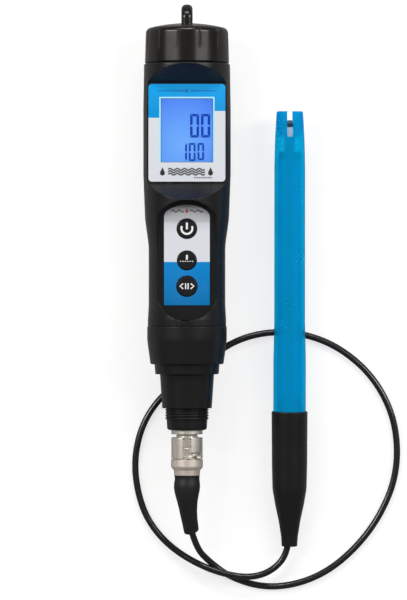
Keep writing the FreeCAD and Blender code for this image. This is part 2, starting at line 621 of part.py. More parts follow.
def plug():
    shell = turned("sleeve_blank", [
        (d.sleeve_lip_bore, d.sleeve_end), (d.sleeve_tail, d.sleeve_end),
        (d.sleeve_tail, d.sleeve_step), (d.sleeve_radius, d.sleeve_step),
        (d.sleeve_radius, d.sleeve_front), (d.sleeve_bore, d.sleeve_front),
        (d.sleeve_bore, d.sleeve_lip), (d.sleeve_lip_bore, d.sleeve_lip)])
    round_edges(shell, "Fillet", 0.3, ring_at(d.sleeve_radius, d.sleeve_front))
    entry = box("entry_slots", (-d.slot_half, d.slot_half), (d.slot_low, d.sleeve_front + 1),
                (-9, 9))
    tracks = []
    for side in (0, 1):
        track = bind(doc.addObject("Part::Cylinder", f"lug_track_{side}"), Radius=9,
                     Height=d.slot_high - d.slot_low)
        track.Angle = DIMENSIONS["slot_turn"]
        start = FreeCAD.Rotation(V(0, 1, 0), 180 * side - 90)
        move(track, 0, d.slot_low, 0, start.multiply(FreeCAD.Rotation(V(1, 0, 0), -90)))
        tracks.append(track)
    on_meter(cut("sleeve_cut", shell, [entry] + tracks), "coupling_sleeve")
    on_meter(turned("spring_washer", [(4.2, d.sleeve_lip + 0.05), (4.95, d.sleeve_lip + 0.05),
                                      (4.95, d.sleeve_lip + 0.3), (4.2, d.sleeve_lip + 0.3)]),
             "wave_washer")
    on_meter(turned("shell_blank", [
        (4.6, d.shell_end), (d.ferrule_radius, d.shell_end), (d.shell_radius - 0.35, d.shell_step),
        (d.shell_radius, d.shell_step + 0.8), (d.shell_radius, d.shell_front),
        (6.6, d.shell_front), (6.6, -62.7), (4.6, -62.7)]), "plug_shell")
    on_meter(turned("plug_core", [
        (2.2, -66.1), (d.plug_tail, -66.1), (d.plug_tail, -62.8), (d.plug_barrel, -62.8),
        (d.plug_barrel, d.plug_tip), (d.plug_bore, d.plug_tip), (d.plug_bore, -62),
        (2.2, -62)]), "plug_body")
    on_meter(turned("plug_insert", [(0.7, -61.9), (3.35, -61.9), (3.35, -57), (0.7, -57)]),
             "plug_insulator")
    on_meter(turned("plug_point", [(0, -65), (d.pin_radius, -65), (d.pin_radius, -53),
                                   (0.2, -52.2), (0, -52.2)]), "plug_pin")
    on_meter(turned("ferrule_ring", [
        (1.6, d.ferrule_end), (d.ferrule_low_radius, d.ferrule_end),
        (d.ferrule_radius, d.shell_end - 0.02), (1.6, d.shell_end - 0.02)]), "crimp_ferrule")


# The boot's middle line, in the row frame: straight out of the plug, then bending right and
# down as the cable's weight pulls it. Each entry is x, y, z and the radius there.
BOOT_LINE = [(-17.85, -91.42, 19.6, 5.9), (-17.85, -95.6, 19.6, 6.0), (-17.83, -99.5, 19.5, 5.65),
             (-17.65, -103.0, 19.15, 4.85), (-17.35, -106.6, 18.5, 4.25),
             (-16.9, -110.5, 17.55, 3.85), (-16.4, -113.8, 16.5, 3.62),
             (-15.85, -117.1, 15.25, 3.5)]


def plug_boot():
    """The rubber boot: round sections lofted along its bent middle line."""
    centres = [V(x, y, z) for x, y, z, _ in BOOT_LINE]
    curve = Part.BSplineCurve()
    curve.interpolate(centres, InitialTangent=V(0, -1, 0), FinalTangent=CABLE_START)
    rings = []
    for centre, (_, _, _, radius) in zip(centres, BOOT_LINE):
        tangent = curve.tangent(curve.parameter(centre))[0]
        rings.append(Part.Wire(Part.makeCircle(radius, centre, tangent)))
    piece = doc.addObject("Part::Feature", "boot_loft")
    piece.Shape = Part.makeLoft(rings, True, False)
    keep(piece, "plug_boot")


# ---------------------------------------------------------------- electrode
def electrode():
    handle = turned("handle_blank", [
        (0.9, d.handle_room), (0.9, d.handle_end + d.cable_hole_depth),
        (d.cable_hole, d.handle_end + d.cable_hole_depth), (d.cable_hole, d.handle_end),
        (d.handle_end_radius, d.handle_end), (3.9, -58.0), (5.06, -50.6), (6.67, -43.2),
        (7.9, -36.0), (8.17, -25.0), (d.handle_radius, 0), (d.handle_bore, 0),
        (d.handle_bore, d.handle_room)])
    round_edges(handle, "Fillet", 22, ring_at(7.9, -36.0))
    round_edges(handle, "Fillet", 0.35, ring_at(d.handle_radius, 0))
    round_edges(handle, "Fillet", 0.5, ring_at(d.handle_end_radius, d.handle_end))
    on_electrode(handle, "electrode_handle")

    tube = turned("tube_blank", [
        (d.tube_bore, d.tube_spigot_end), (d.tube_spigot, d.tube_spigot_end),
        (d.tube_spigot, 0.05), (d.tube_radius, 0.05), (d.tube_radius, 24),
        (d.shaft_radius, 42), (d.shaft_radius, 112), (6.9, 122), (6.6, 131),
        (d.tube_tip_radius, d.tube_tip), (d.guard_bore, d.tube_tip),
        (d.guard_bore, d.guard_floor), (2.35, d.guard_floor), (2.35, d.tube_floor),
        (d.tube_bore_tip, d.tube_floor)])
    round_edges(tube, "Fillet", 0.9, ring_at(d.tube_tip_radius, d.tube_tip))
    half = d.guard_slot / 2
    floor, end = d.guard_floor, d.tube_tip + 2
    slots = [box("front_slot", (-half, half), (floor, end), (-9, 9)),
             box("side_slot", (-9, 9), (floor + 2.5, end), (-half, half))]
    on_electrode(cut("tube_cut", tube, slots), "electrode_tube")
    on_electrode(turned("stem_glass", [
        (0, d.stem_low), (1.0, d.stem_low), (d.stem_radius, d.stem_low + 12),
        (d.stem_radius, 123.9), (1.2, 123.9), (1.2, d.stem_low + 14), (0, d.stem_low + 13)]),
        "glass_stem")
    on_electrode(turned("bulb_glass", [
        (0, 124.0), (d.stem_radius, 124.0), (d.stem_radius, 127.6), (2.6, 129.4),
        (2.6, 132.8), (1.5, 134.4), (0, 134.7)]), "glass_bulb")
    on_electrode(turned("band_ring", [(2.65, 131.4), (3.1, 131.4), (3.1, 133.0), (2.65, 133.0)]),
                 "sensing_band")
    on_electrode(turned("stem_collar", [(2.05, 56.6), (2.5, 56.6), (2.5, 57.4), (2.05, 57.4)]),
                 "stem_ring")
    on_electrode(turned("seal_puck", [(2.4, 116.5), (4.95, 116.5), (4.95, 119.9), (2.4, 119.9)]),
                 "tip_seal")
    on_electrode(turned("top_plug", [(2.3, -13.5), (5.5, -13.5), (5.5, 6.0), (2.3, 6.0)]),
                 "reference_plug")
    bend_y = 42.0
    slant = FreeCAD.Rotation(V(0, 0, 1), 14).multiply(FreeCAD.Rotation(V(1, 0, 0), -90))
    hook = bind(doc.addObject("Part::Cylinder", "wire_hook"), Radius=0.3, Height=13)
    move(hook, 3.9, bend_y - 0.2, 2.6, slant)
    on_electrode(joined("wire_pair", [rod("wire_rod", 0.3, 6.1, bend_y, 3.9, 2.6), hook]),
                 "reference_wire")
    low, high = d.handle_end + 9.0, d.stem_low - 0.2
    on_electrode(turned("core_rod", [(0, low), (0.5, low), (0.5, high), (0, high)]), "core_wire")


# ---------------------------------------------------------------- cable
# The route's corners, in the row frame: out of the boot, down to the surface, under the
# returning strand, round the right-hand loop, under the electrode and the meter, round the
# left-hand loop, over the first strand in a low hump and into the end of the handle.
CABLE_ROUTE = [
    (-15.85, -117.1, 15.25), (-13.5, -125.4, 11.0), (-8.0, -131.8, 4.4), (2.0, -139.6, 1.5),
    (17.5, -144.4, 1.5), (33.5, -142.9, 1.5), (48.5, -136.3, 1.5), (61.8, -124.6, 1.5),
    (71.8, -110.9, 1.5), (78.7, -94.6, 1.5), (80.1, -77.5, 1.5), (76.6, -60.6, 1.5),
    (66.9, -44.4, 1.5), (51.5, -31.9, 1.5), (34.5, -25.9, 1.5), (17.0, -25.7, 1.5),
    (0.8, -31.2, 1.5), (-12.8, -43.0, 1.5), (-28.4, -53.6, 1.5), (-38.2, -67.0, 1.5),
    (-42.4, -83.2, 1.5), (-41.2, -99.2, 1.5), (-36.0, -113.9, 1.5), (-25.0, -126.4, 1.5),
    (-9.0, -135.3, 6.0), (6.0, -139.3, 6.2), (16.2, -138.7, 5.9), (24.0, -134.3, 6.1),
    (28.7, -127.3, 6.7), (29.4, -119.7, 7.05)]
CABLE_START = V(*CABLE_ROUTE[1]) - V(*CABLE_ROUTE[0])


def cable_path():
    """Straight runs joined by tangent arcs, each as large as its two runs allow."""
    corners = [V(*corner) for corner in CABLE_ROUTE]
    edges, radii = [], []
    here = corners[0]
    for before, corner, after in zip(corners, corners[1:], corners[2:]):
        back, ahead = before - corner, after - corner
        half_turn = (math.pi - back.getAngle(ahead)) / 2
        setback = 0.45 * min(back.Length, ahead.Length)
        radii.append(setback / math.tan(half_turn))
        start = corner + back.normalize() * setback
        end = corner + ahead.normalize() * setback
        inward = (back + ahead).normalize()
        middle = corner + inward * (math.hypot(radii[-1], setback) - radii[-1])
        edges.append(Part.LineSegment(here, start).toShape())
        edges.append(Part.Arc(start, middle, end).toShape())
        here = end
    edges.append(Part.LineSegment(here, corners[-1]).toShape())
    print("cable bend radii, mm:", [round(radius, 1) for radius in radii])
    return Part.Wire(edges)


def cable():
    path = cable_path()
    ring = Part.Wire(Part.makeCircle(d.cable_radius.value, V(*CABLE_ROUTE[0]), CABLE_START))
    solid = path.makePipeShell([ring], True, True)
    expected = math.pi * d.cable_radius.value ** 2 * path.Length
    print(f"cable length {path.Length:.1f} mm, volume {solid.Volume:.0f}, expected {expected:.0f}")
    piece = doc.addObject("Part::Feature", "cable_tube")
    piece.Shape = solid
    keep(piece, "cable")


# ---------------------------------------------------------------- build and write
for make in (housing, display, keypad, electronics, battery_cap, batteries, collar_nut, adapter,
             jack, plug, plug_boot, electrode, cable):
    make()
doc.recompute()

problems = [f"{item.Label}: {item.State}" for item in doc.Objects
            if "Invalid" in item.State or "Error" in item.State]
problems += [f"{node.Label}: bad shape" for node in nodes
             if node.Shape.isNull() or not node.Shape.isValid()]
if problems:
    raise SystemExit("\n".join(problems))

os.makedirs("parts", exist_ok=True)
for node in nodes:
    node.Shape.exportStep(f"parts/{node.Label}.step")
    bounds = node.Shape.BoundBox
    print(f"{node.Label}: {len(node.Shape.Solids)} solid(s), {node.Shape.Volume:.1f} mm3, "
          f"z {bounds.ZMin:.2f} to {bounds.ZMax:.2f}")
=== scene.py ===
# %% [markdown]
# # Water quality probe
# A handheld meter, its bayonet plug, a thin cable and a slotted electrode lie on a white table
# and are seen from straight above. The engineering model brings every hard part in its true
# place. This lesson adds the camera, the light, the cable's smooth line, the printed marks and
# the finish of every material.

# %% Load the fixed parts
import bpy
import json
import math
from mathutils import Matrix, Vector


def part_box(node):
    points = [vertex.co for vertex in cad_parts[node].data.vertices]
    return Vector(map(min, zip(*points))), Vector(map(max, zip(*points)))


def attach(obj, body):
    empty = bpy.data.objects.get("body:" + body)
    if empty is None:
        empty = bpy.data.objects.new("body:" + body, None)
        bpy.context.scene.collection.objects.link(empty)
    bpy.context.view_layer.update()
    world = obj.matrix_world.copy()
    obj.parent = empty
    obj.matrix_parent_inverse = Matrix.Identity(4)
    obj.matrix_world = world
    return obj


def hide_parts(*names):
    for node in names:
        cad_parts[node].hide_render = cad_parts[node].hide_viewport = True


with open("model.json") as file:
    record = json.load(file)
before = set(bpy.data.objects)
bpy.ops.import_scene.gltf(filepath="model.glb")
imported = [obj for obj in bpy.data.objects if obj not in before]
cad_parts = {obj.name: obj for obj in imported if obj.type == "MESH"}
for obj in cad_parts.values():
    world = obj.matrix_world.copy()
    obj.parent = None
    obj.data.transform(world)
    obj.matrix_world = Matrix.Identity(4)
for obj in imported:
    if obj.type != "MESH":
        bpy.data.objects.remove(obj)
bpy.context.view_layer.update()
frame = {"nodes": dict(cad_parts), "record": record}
MM = 0.001
print("parts loaded:", len(frame["nodes"]))


# %% [markdown]
# Places come from the parts themselves. The collar nut is round, so its middle gives the meter's
# axis. The display window and the two printed films give the places of the marks.

# %% Places taken from the parts
def corners(node):
    low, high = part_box(node)
    return Vector(low), Vector(high)


NUT_LOW, NUT_HIGH = corners("collar_nut")
METER_X = (NUT_LOW.x + NUT_HIGH.x) / 2
AXIS_Z = (NUT_LOW.z + NUT_HIGH.z) / 2
WINDOW_LOW, WINDOW_HIGH = corners("lcd_window")
GLASS_LOW, GLASS_HIGH = corners("lcd_glass")
LABEL_LOW, LABEL_HIGH = corners("display_label")
KEYS_LOW, KEYS_HIGH = corners("keypad_label")
print("meter axis at", round(METER_X, 4), round(AXIS_Z, 4))

# %% [markdown]
# A long lens far above the table keeps the outlines true: rims and shoulders hardly swell towards
# the camera. A parallel view would do that too, but it would lose the slight fall-away of the
# sides. The camera hangs straight over the middle of the view, so the lens needs no shift.

# %% Camera
CAMERA_LENS = 240.0
CAMERA_REACH = 1.84
SENSOR_WIDTH = 36.0
CAMERA_SIGHT = 20.0
VIEW_CENTRE = Vector((-10.26 * MM, -10.81 * MM, AXIS_Z))

camera_data = bpy.data.cameras.new("camera")
camera_data.lens = CAMERA_LENS
camera_data.sensor_width = SENSOR_WIDTH
camera_data.clip_end = CAMERA_SIGHT
camera = bpy.data.objects.new("camera", camera_data)
camera.location = VIEW_CENTRE + Vector((0, 0, CAMERA_REACH))
bpy.context.scene.collection.objects.link(camera)
bpy.context.scene.camera = camera
print("camera height over the table, m:", round(camera.location.z, 3))

# %% [markdown]
# The cable leaves the rubber boot, comes down to the table, makes one wide loop under the
# electrode and the meter, and climbs over its own first stretch into the electrode's handle.
# A swept mesh would do, but one NURBS curve of order 3 follows the route's corners as a soft
# line, because a stiff little cable has no corners and no straight pieces.

# %% Cable
CABLE_ROUTE_MM = [
    (-15.85, -117.1, 15.25), (-13.5, -125.4, 11.0), (-8.0, -131.8, 4.4), (2.0, -139.6, 1.5),
    (17.5, -144.4, 1.5), (33.5, -142.9, 1.5), (48.5, -136.3, 1.5), (61.8, -124.6, 1.5),
    (71.8, -110.9, 1.5), (78.7, -94.6, 1.5), (80.1, -77.5, 1.5), (76.6, -60.6, 1.5),
    (66.9, -44.4, 1.5), (51.5, -31.9, 1.5), (34.5, -25.9, 1.5), (17.0, -25.7, 1.5),
    (0.8, -31.2, 1.5), (-12.8, -43.0, 1.5), (-28.4, -53.6, 1.5), (-38.2, -67.0, 1.5),
    (-42.4, -83.2, 1.5), (-41.2, -99.2, 1.5), (-36.0, -113.9, 1.5), (-25.0, -126.4, 1.5),
    (-9.0, -135.3, 6.0), (6.0, -139.3, 6.2), (16.2, -138.7, 5.9), (24.0, -134.3, 6.1),
    (28.7, -127.3, 6.7), (29.4, -119.7, 7.05)]
CABLE_DIAMETER = 3.0 * MM
CURVE_ORDER = 3


def curve_piece(name, points, radius):
    """A round wire of this radius along one open NURBS line. The points carry the radius, and
    the bevel is 1, because Blender widens a curve's box by its points' radius."""
    data = bpy.data.curves.new(name, "CURVE")
    data.dimensions = "3D"
    data.bevel_depth = 1.0
    data.bevel_resolution = 5
    data.resolution_u = 12
    data.use_fill_caps = True
    line = data.splines.new("NURBS")
    line.points.add(len(points) - 1)
    for spot, point in zip(line.points, points):
        spot.co = (*point, 1.0)
        spot.radius = radius
    line.order_u = CURVE_ORDER
    line.use_endpoint_u = True
    piece = bpy.data.objects.new(name, data)
    bpy.context.scene.collection.objects.link(piece)
    return piece


cable = curve_piece("coax_cable", [Vector(point) * MM for point in CABLE_ROUTE_MM],
                    CABLE_DIAMETER / 2)
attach(cable, "meter")
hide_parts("cable")
print("cable corners:", len(CABLE_ROUTE_MM))

# %% [markdown]
# A product table: a big pale floor, one long soft lamp on each side, one beyond the cap and a
# dim grey room. Seen from above, the two side lamps put a band of light on each side of every
# black cylinder, which is how the roundness of black plastic shows at all. The floor becomes a
# light table further on, when its finish is made.

# %% Floor, room and lamps
FLOOR_SIZE = 6.0
FLOOR_DROP = 0.2 * MM
LAMP_SIDE = 1.05
LAMP_HEIGHT = 1.15
LAMP_ALONG = 0.5
LAMP_SIZE = 0.24, 1.0
LAMP_POWER = 12.5
ROOM_COLOUR = 0.95, 0.97, 1.0
ROOM_STRENGTH = 0.2


def stage_floor():
    half = FLOOR_SIZE / 2
    data = bpy.data.meshes.new("floor")
    data.from_pydata([(-half, -half, 0), (half, -half, 0), (half, half, 0), (-half, half, 0)],
                     [], [(0, 1, 2, 3)])
    floor = bpy.data.objects.new("floor", data)
    floor.location.z = -FLOOR_DROP
    bpy.context.scene.collection.objects.link(floor)
    return floor


def lamp(name, place, target, size, power, colour=(1.0, 1.0, 1.0)):
    data = bpy.data.lights.new(name, "AREA")
    data.shape = "RECTANGLE"
    data.size, data.size_y = size
    data.energy = power
    data.color = colour
    piece = bpy.data.objects.new(name, data)
    piece.location = place
    look = Vector(target) - Vector(place)
    piece.rotation_euler = look.to_track_quat("-Z", "Y").to_euler()
    bpy.context.scene.collection.objects.link(piece)


floor = stage_floor()
lamp("lamp_left", (-LAMP_SIDE, LAMP_ALONG, LAMP_HEIGHT), (0, LAMP_ALONG, 0), LAMP_SIZE,
     LAMP_POWER, (1.0, 0.97, 0.92))
lamp("lamp_right", (LAMP_SIDE, LAMP_ALONG, LAMP_HEIGHT), (0, LAMP_ALONG, 0), LAMP_SIZE,
     LAMP_POWER, (1.0, 0.985, 0.97))
lamp("lamp_head", (0, 1.6, 1.3), (0, 0, 0), (1.1, 0.14), 15)

world = bpy.data.worlds.new("room")
bpy.context.scene.world = world
world.use_nodes = True
world.node_tree.nodes["Background"].inputs["Color"].default_value = (*ROOM_COLOUR, 1)
world.node_tree.nodes["Background"].inputs["Strength"].default_value = ROOM_STRENGTH
bpy.context.scene.view_settings.view_transform = "Standard"


# %% [markdown]
# Every finish is a small node tree. Two effects come back in most of them, so each is a node
# group, built once. "Moulded grain" is the fine skin of moulded or brushed parts: it varies the
# roughness and gives a height for a bump. "Handling" is the faint cloudiness that fingers and
# wiping leave: it mixes a second colour in soft patches.

# %% Shared node groups
FINE_SHARE = 0.35


def add(tree, kind, **settings):
    """Add a shader node. Inputs are set by name, other settings are plain attributes."""
    node = tree.nodes.new(kind)
    for name, value in settings.items():
        if name in node.inputs:
            node.inputs[name].default_value = value
        else:
            setattr(node, name, value)
    return node


def grain_group():
    group = bpy.data.node_groups.new("moulded grain", "ShaderNodeTree")
    face = group.interface
    for name, value in (("Size", 0.4), ("Smooth", 0.35), ("Rough", 0.5)):
        face.new_socket(name, in_out="INPUT", socket_type="NodeSocketFloat").default_value = value
    for name in ("Roughness", "Height"):
        face.new_socket(name, in_out="OUTPUT", socket_type="NodeSocketFloat")
    ends = add(group, "NodeGroupInput"), add(group, "NodeGroupOutput")
    place = add(group, "ShaderNodeTexCoord")
    per_metre = add(group, "ShaderNodeMath", operation="DIVIDE")
    per_metre.inputs[0].default_value = 1 / MM
    fine = add(group, "ShaderNodeTexNoise", Detail=3.0, Roughness=0.6)
    cloud = add(group, "ShaderNodeTexNoise", Scale=60.0, Detail=2.0)
    spread = add(group, "ShaderNodeMapRange")
    spread.inputs["From Min"].default_value = 0.35
    spread.inputs["From Max"].default_value = 0.65
    mixed = add(group, "ShaderNodeMath", operation="MULTIPLY_ADD")
    mixed.inputs[1].default_value = FINE_SHARE
    join = group.links.new
    join(ends[0].outputs["Size"], per_metre.inputs[1])
    join(place.outputs["Object"], fine.inputs["Vector"])
    join(place.outputs["Object"], cloud.inputs["Vector"])
    join(per_metre.outputs[0], fine.inputs["Scale"])
    join(fine.outputs["Fac"], mixed.inputs[0])
    half = add(group, "ShaderNodeMath", operation="MULTIPLY")
    half.inputs[1].default_value = 1 - FINE_SHARE
    join(cloud.outputs["Fac"], half.inputs[0])
    join(half.outputs[0], mixed.inputs[2])
    join(mixed.outputs[0], spread.inputs["Value"])
    join(ends[0].outputs["Smooth"], spread.inputs["To Min"])
    join(ends[0].outputs["Rough"], spread.inputs["To Max"])
    join(spread.outputs["Result"], ends[1].inputs["Roughness"])
    join(fine.outputs["Fac"], ends[1].inputs["Height"])
    return group


def handling_group():
    group = bpy.data.node_groups.new("handling", "ShaderNodeTree")
    face = group.interface
    face.new_socket("Colour", in_out="INPUT", socket_type="NodeSocketColor")
    face.new_socket("Worn", in_out="INPUT", socket_type="NodeSocketColor")
    amount = face.new_socket("Amount", in_out="INPUT", socket_type="NodeSocketFloat")
    amount.default_value = 0.3
    face.new_socket("Colour", in_out="OUTPUT", socket_type="NodeSocketColor")
    ends = add(group, "NodeGroupInput"), add(group, "NodeGroupOutput")
    place = add(group, "ShaderNodeTexCoord")
    patches = add(group, "ShaderNodeTexNoise", Scale=45.0, Detail=4.0, Roughness=0.65)
    edge = add(group, "ShaderNodeMapRange")
    edge.inputs["From Min"].default_value = 0.42
    edge.inputs["From Max"].default_value = 0.7
    share = add(group, "ShaderNodeMath", operation="MULTIPLY")
    blend = add(group, "ShaderNodeMix", data_type="RGBA")
    join = group.links.new
    join(place.outputs["Object"], patches.inputs["Vector"])
    join(patches.outputs["Fac"], edge.inputs["Value"])
    join(edge.outputs["Result"], share.inputs[0])
    join(ends[0].outputs["Amount"], share.inputs[1])
    join(share.outputs[0], blend.inputs["Factor"])
    join(ends[0].outputs["Colour"], blend.inputs["A"])
    join(ends[0].outputs["Worn"], blend.inputs["B"])
    join(blend.outputs["Result"], ends[1].inputs["Colour"])
    return group


GRAIN = grain_group()
HANDLING = handling_group()
print("node groups:", [group.name for group in bpy.data.node_groups])


# %% [markdown]
# The base of nearly every material: a Principled shader whose roughness and bump come from the
# grain group and whose colour passes through the handling group. Each finish could be a tree of
# its own, but one helper keeps them alike. A print gives its own colour socket in place of the
# plain colour.

# %% Material helper
def finish_of(name, colour, worn, handled, size, smooth, rough, bump, edge=0.0, painted=None,
              **shader):
    """A material. worn is the handled colour and handled its share, size is the grain in mm,
    smooth and rough the ends of its roughness, bump its height in mm, and edge the radius in mm
    that sharp corners seem to have. shader sets plain sockets."""
    material = bpy.data.materials.new(name)
    material.use_nodes = True
    tree = material.node_tree
    principled = tree.nodes["Principled BSDF"]
    for socket, value in shader.items():
        principled.inputs[socket.replace("_", " ")].default_value = value
    grain = add(tree, "ShaderNodeGroup", node_tree=GRAIN)
    for socket, value in (("Size", size), ("Smooth", smooth), ("Rough", rough)):
        grain.inputs[socket].default_value = value
    used = add(tree, "ShaderNodeGroup", node_tree=HANDLING)
    used.inputs["Amount"].default_value = handled
    used.inputs["Colour"].default_value = (*colour, 1)
    used.inputs["Worn"].default_value = (*worn, 1)
    if painted:
        tree.links.new(painted(tree), used.inputs["Colour"])
    relief = add(tree, "ShaderNodeBump", Strength=1.0, Distance=bump * MM)
    join = tree.links.new
    if edge:
        corner = add(tree, "ShaderNodeBevel", Radius=edge * MM, samples=4)
        join(corner.outputs["Normal"], relief.inputs["Normal"])
    join(used.outputs["Colour"], principled.inputs["Base Color"])
    join(grain.outputs["Roughness"], principled.inputs["Roughness"])
    join(grain.outputs["Height"], relief.inputs["Height"])
    join(relief.outputs["Normal"], principled.inputs["Normal"])
    return material


# %% [markdown]
# Black parts: the housing, nut and handle are one satin ABS, and the cap is a warmer, glossier
# one. The boot and seals are a duller rubber. The cable's jacket is a smoother PVC that keeps one
# thin line of light along its top. Real black plastic is a dark grey with clear highlights, so
# none of these is pure black. Moulded corners are never quite sharp: a Bevel node turns the
# normal over the last fraction of a millimetre, so every rim catches the light.

# %% Black materials
BLACK = finish_of("black_plastic", (0.008, 0.008, 0.0088), (0.014, 0.014, 0.0148), 0.35,
                  size=0.35, smooth=0.24, rough=0.33, bump=0.002, edge=0.5,
                  Specular_IOR_Level=0.34)
CAP_BLACK = finish_of("cap_plastic", (0.009, 0.0072, 0.0062), (0.014, 0.0118, 0.0105), 0.35,
                      size=0.35, smooth=0.17, rough=0.25, bump=0.002, edge=0.35,
                      Specular_IOR_Level=0.4)
RUBBER = finish_of("black_rubber", (0.011, 0.011, 0.0118), (0.018, 0.018, 0.019), 0.4, size=0.5,
                   smooth=0.42, rough=0.55, bump=0.003, Specular_IOR_Level=0.35)
JACKET = finish_of("cable_jacket", (0.008, 0.008, 0.0088), (0.014, 0.014, 0.015), 0.3, size=0.6,
                   smooth=0.22, rough=0.3, bump=0.002, Specular_IOR_Level=0.6)
KEY_BLACK = finish_of("button_plastic", (0.006, 0.006, 0.0068), (0.01, 0.01, 0.011), 0.3,
                      size=0.3, smooth=0.32, rough=0.42, bump=0.002, edge=0.2,
                      Specular_IOR_Level=0.35)
print("black finishes:", [item.name for item in (BLACK, CAP_BLACK, RUBBER, JACKET, KEY_BLACK)])

# %% [markdown]
# Printed films: the display film is blue above an edge that steps down a little from right to
# left, and white below. The key film is white above blue, with painted shade greying its top.
# Separate sheets could carry the colours, but each film is one print split by height, so the
# colour is worked out from the point's own place.

# %% Printed films
FILM_WHITE = (0.7, 0.735, 0.79)
# The grey of the painted shade at the key film's top.
FILM_PAINTED_SHADE = (0.42, 0.42, 0.44)
DISPLAY_BLUES = (0.002, 0.28, 0.68), (0.004, 0.37, 0.84)
KEY_BLUES = (0.001, 0.165, 0.44), (0.003, 0.235, 0.62)
FILM_WORN = (0.6, 0.62, 0.66)
DISPLAY_STEP_LEFT = LABEL_LOW.y + 29.2 * MM
DISPLAY_STEP_RIGHT = LABEL_LOW.y + 32.3 * MM
DISPLAY_FADE_LOW = LABEL_LOW.y + 27 * MM
KEY_STEP = KEYS_LOW.y + 19.8 * MM
# How far down from the key film's top the painted shade reaches.
PAINTED_SHADE_DEPTH = 13 * MM


def split_by_height(step_left, step_right, middle, blue_above, fade_low, fade_high, blues):
    """A colour socket: blue on one side of a level, white on the other. The level is step_left
    for points left of middle, and step_right for the rest. The blue fades from the first of
    blues at fade_low to the second at fade_high."""
    def paint(tree):
        join = tree.links.new
        place = add(tree, "ShaderNodeTexCoord")
        parts = add(tree, "ShaderNodeSeparateXYZ")
        join(place.outputs["Object"], parts.inputs[0])
        side = add(tree, "ShaderNodeMath", operation="GREATER_THAN")
        side.inputs[1].default_value = middle
        join(parts.outputs["X"], side.inputs[0])
        level = add(tree, "ShaderNodeMapRange")
        level.inputs["To Min"].default_value = step_left
        level.inputs["To Max"].default_value = step_right
        join(side.outputs[0], level.inputs["Value"])
        above = add(tree, "ShaderNodeMath", operation="GREATER_THAN")
        join(parts.outputs["Y"], above.inputs[0])
        join(level.outputs["Result"], above.inputs[1])
        fade = add(tree, "ShaderNodeMapRange")
        fade.inputs["From Min"].default_value = fade_low
        fade.inputs["From Max"].default_value = fade_high
        join(parts.outputs["Y"], fade.inputs["Value"])
        blue = add(tree, "ShaderNodeMix", data_type="RGBA")
        blue.inputs["A"].default_value = (*blues[0], 1)
        blue.inputs["B"].default_value = (*blues[1], 1)
        join(fade.outputs["Result"], blue.inputs["Factor"])
        film = add(tree, "ShaderNodeMix", data_type="RGBA")
        join(above.outputs[0], film.inputs["Factor"])
        paper_and_shade = add(tree, "ShaderNodeMix", data_type="RGBA")
        paper_and_shade.inputs["A"].default_value = (*FILM_WHITE, 1)
        paper_and_shade.inputs["B"].default_value = (*FILM_PAINTED_SHADE, 1)
        # Painted shade: on the key film the white turns grey towards the film's top; on the
        # display film this factor stays at 0.
        painted_shade = add(tree, "ShaderNodeMapRange")
        painted_shade.inputs["From Min"].default_value = KEYS_HIGH.y - PAINTED_SHADE_DEPTH
        painted_shade.inputs["From Max"].default_value = KEYS_HIGH.y
        painted_shade.inputs["To Max"].default_value = 0.0 if blue_above else 1.0
        join(parts.outputs["Y"], painted_shade.inputs["Value"])
        join(painted_shade.outputs["Result"], paper_and_shade.inputs["Factor"])
        join(paper_and_shade.outputs["Result"], film.inputs["A" if blue_above else "B"])
        join(blue.outputs["Result"], film.inputs["B" if blue_above else "A"])
        return film.outputs["Result"]
    return paint


DISPLAY_FILM = finish_of(
    "display_film", FILM_WHITE, FILM_WORN, 0.02, size=0.25, smooth=0.2, rough=0.27,
    bump=0.001, Specular_IOR_Level=0.3,
    painted=split_by_height(DISPLAY_STEP_LEFT, DISPLAY_STEP_RIGHT, METER_X, True,
                            DISPLAY_FADE_LOW, LABEL_HIGH.y, DISPLAY_BLUES))
KEY_FILM = finish_of(
    "key_film", FILM_WHITE, FILM_WORN, 0.02, size=0.25, smooth=0.2, rough=0.27,
    bump=0.001, Specular_IOR_Level=0.3,
    painted=split_by_height(KEY_STEP, KEY_STEP, METER_X, False,
                            KEYS_LOW.y, KEY_STEP, KEY_BLUES))
print("film steps, mm up the films:", round((DISPLAY_STEP_LEFT - LABEL_LOW.y) / MM, 1),
      round((DISPLAY_STEP_RIGHT - LABEL_LOW.y) / MM, 1), round((KEY_STEP - KEYS_LOW.y) / MM, 1))


# %% [markdown]
# The display is lit from behind, so its glass gives off light: deep blue towards its upper
# corners, a paler blue low in the middle. A lamp inside would need a clear glass and many more
# rays, so the glass itself gives the light, as a soft round fade about a point low on the glass.

# %% Lit display
GLOW_ACROSS = METER_X - 2 * MM
GLOW_UP = GLASS_LOW.y + 8 * MM
GLOW_REACH = 24 * MM
GLOW_PALE = 0.155, 0.42, 0.93
GLOW_DEEP = 0.06, 0.2, 0.88
GLOW_STRENGTH = 0.95


